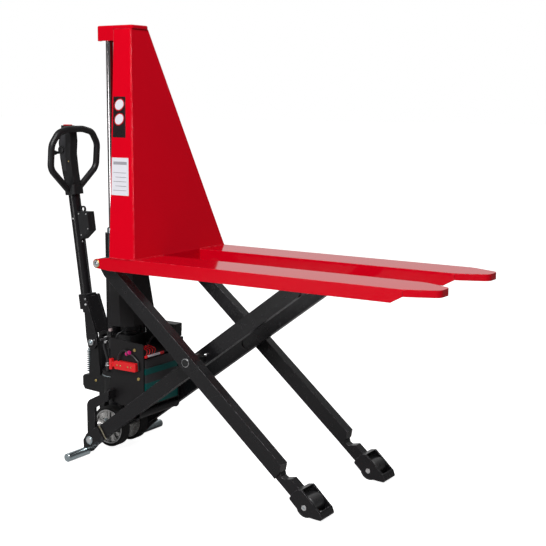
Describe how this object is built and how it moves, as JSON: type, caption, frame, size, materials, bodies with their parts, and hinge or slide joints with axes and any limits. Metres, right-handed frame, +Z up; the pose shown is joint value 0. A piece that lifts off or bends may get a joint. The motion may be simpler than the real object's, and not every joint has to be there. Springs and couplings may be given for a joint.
{
  "type": "high-lift scissor pallet truck",
  "caption": "High-lift pallet truck: scissor arms and a hydraulic rod raise a pair of forks carried by a tapering mast, with a steering tiller at the rear.",
  "frame": {"origin": "on the floor, under the middle of the truck's overall box with the forks raised", "axes": "+X forward along the forks, +Y to the left of a driver at the tiller, +Z up"},
  "size_m": [1.7654, 0.56, 1.632],
  "materials": {
    "red_paint": "gloss enamel",
    "black_paint": "semi-gloss powder coat",
    "black_panel": "matte powder coat",
    "black_plastic": "fine textured",
    "chrome": "ground and polished",
    "zinc_steel": "zinc plated",
    "brass": "yellow passivated",
    "roller": "cast polyurethane",
    "rim": "as cast",
    "tyre": "smooth tread",
    "spring_steel": "oiled",
    "battery": "moulded",
    "battery_lid": "moulded",
    "pump": "painted",
    "motor": "satin",
    "connector": "moulded",
    "cable": "smooth"
  },
  "bodies": {
    "chassis": {"chassis_frame": "black_paint", "pivot_bracket_right": "black_paint", "pivot_bracket_left": "black_paint", "lower_pivot_pins": "zinc_steel", "steering_bearing": "zinc_steel", "cylinder_tube": "black_paint", "cylinder_gland": "zinc_steel", "rod_cover": "black_panel", "side_panel_right": "black_panel", "side_panel_left": "black_panel", "panel_screws": "brass", "battery_case": "battery", "battery_lid": "battery_lid", "pump_block": "pump", "pump_motor": "motor", "oil_tank": "motor", "controller_box": "black_panel", "connector_socket": "connector", "connector_cables": "cable", "hydraulic_hose": "cable"},
    "connector_plug": {"connector_plug": "connector"},
    "lift_rod": {"piston_rod": "chrome"},
    "inner_arms": {"inner_arm_right": "black_paint", "inner_arm_left": "black_paint", "heel_plate_right": "black_paint", "heel_plate_left": "black_paint", "inner_cross_tube": "black_paint", "stabiliser_feet": "zinc_steel", "fork_roller_axles": "zinc_steel"},
    "fork_roller_right": {"fork_roller_right": "roller"},
    "fork_roller_left": {"fork_roller_left": "roller"},
    "outer_arms": {"outer_arm_right": "black_paint", "outer_arm_left": "black_paint", "foot_bracket_right": "black_paint", "foot_bracket_left": "black_paint", "roller_axles": "zinc_steel", "main_pivot_pins": "zinc_steel"},
    "load_roller_right": {"load_roller_right": "roller"},
    "load_roller_left": {"load_roller_left": "roller"},
    "fork_frame": {"fork_right": "red_paint", "fork_left": "red_paint", "mast_plate": "red_paint", "mast_flange_right": "red_paint", "mast_flange_left": "red_paint", "mast_cap": "red_paint", "rear_pivot_pins": "zinc_steel"},
    "steering": {"steering_head": "black_paint", "wheel_axle": "zinc_steel", "pivot_bolt": "zinc_steel", "return_spring": "spring_steel"},
    "wheel_right": {"wheel_rim_right": "rim", "tyre_right": "tyre"},
    "wheel_left": {"wheel_rim_left": "rim", "tyre_left": "tyre"},
    "tiller": {"tiller_tube": "black_paint", "control_box": "black_plastic", "handle_loop": "black_plastic", "handle_spine": "black_plastic"},
    "finger_lever": {"finger_lever": "black_plastic"},
    "lift_button": {"lift_button": "connector"}
  },
  "joints": [
    {"name": "inner_lift", "type": "hinge", "parent": "chassis", "child": "inner_arms", "pos_m": [-0.59798, 0, 0.058], "axis": [0, 1, 0], "range_deg": [0, 37.24]},
    {"name": "outer_lift", "type": "hinge", "parent": "inner_arms", "child": "outer_arms", "pos_m": [-0.06342, 0, 0.45356], "axis": [0, 1, 0], "range_deg": [-76.01, 0]},
    {"name": "fork_lift", "type": "hinge", "parent": "outer_arms", "child": "fork_frame", "pos_m": [-0.44725, 0, 0.774], "axis": [0, 1, 0], "range_deg": [0, 38.77]},
    {"name": "rod_slide", "type": "slide", "parent": "chassis", "child": "lift_rod", "axis": [0, 0, 1], "range_m": [-0.7151, 0]},
    {"name": "load_roller_right_spin", "type": "hinge", "parent": "outer_arms", "child": "load_roller_right", "pos_m": [0.43555, 0, 0.037], "axis": [0, 1, 0], "continuous": true},
    {"name": "load_roller_left_spin", "type": "hinge", "parent": "outer_arms", "child": "load_roller_left", "pos_m": [0.43555, 0, 0.037], "axis": [0, 1, 0], "continuous": true},
    {"name": "fork_roller_right_spin", "type": "hinge", "parent": "inner_arms", "child": "fork_roller_right", "pos_m": [0.34777, 0, 0.75785], "axis": [0, 1, 0], "continuous": true},
    {"name": "fork_roller_left_spin", "type": "hinge", "parent": "inner_arms", "child": "fork_roller_left", "pos_m": [0.34777, 0, 0.75785], "axis": [0, 1, 0], "continuous": true},
    {"name": "steering_turn", "type": "hinge", "parent": "chassis", "child": "steering", "pos_m": [-0.60525, 0, 0], "axis": [0, 0, 1], "range_deg": [-35, 35]},
    {"name": "wheel_right_spin", "type": "hinge", "parent": "steering", "child": "wheel_right", "pos_m": [-0.58125, 0, 0.092], "axis": [0, 1, 0], "continuous": true},
    {"name": "wheel_left_spin", "type": "hinge", "parent": "steering", "child": "wheel_left", "pos_m": [-0.58125, 0, 0.092], "axis": [0, 1, 0], "continuous": true},
    {"name": "tiller_tilt", "type": "hinge", "parent": "steering", "child": "tiller", "pos_m": [-0.68825, 0, 0.412], "axis": [0, -1, 0], "range_deg": [0, 75]},
    {"name": "finger_lever_rock", "type": "hinge", "parent": "tiller", "child": "finger_lever", "pos_m": [-0.84725, 0, 1.163], "axis": [0, 1, 0], "range_deg": [-15, 15], "stiffness_Nm_per_rad": 0.6},
    {"name": "lift_button_press", "type": "slide", "parent": "tiller", "child": "lift_button", "axis": [0, 0, -1], "range_m": [0, 0.003], "stiffness_N_per_m": 400},
    {"name": "connector_pull", "type": "slide", "parent": "chassis", "child": "connector_plug", "axis": [-1, 0, 0], "range_m": [0, 0.06]}
  ],
  "couplings": [
    {"joint": "outer_lift", "follows": "inner_lift", "ratio": -2.0409},
    {"joint": "fork_lift", "follows": "inner_lift", "ratio": 1.0409},
    {"joint": "rod_slide", "follows": "inner_lift", "m_per_rad": -1.1001}
  ]
}
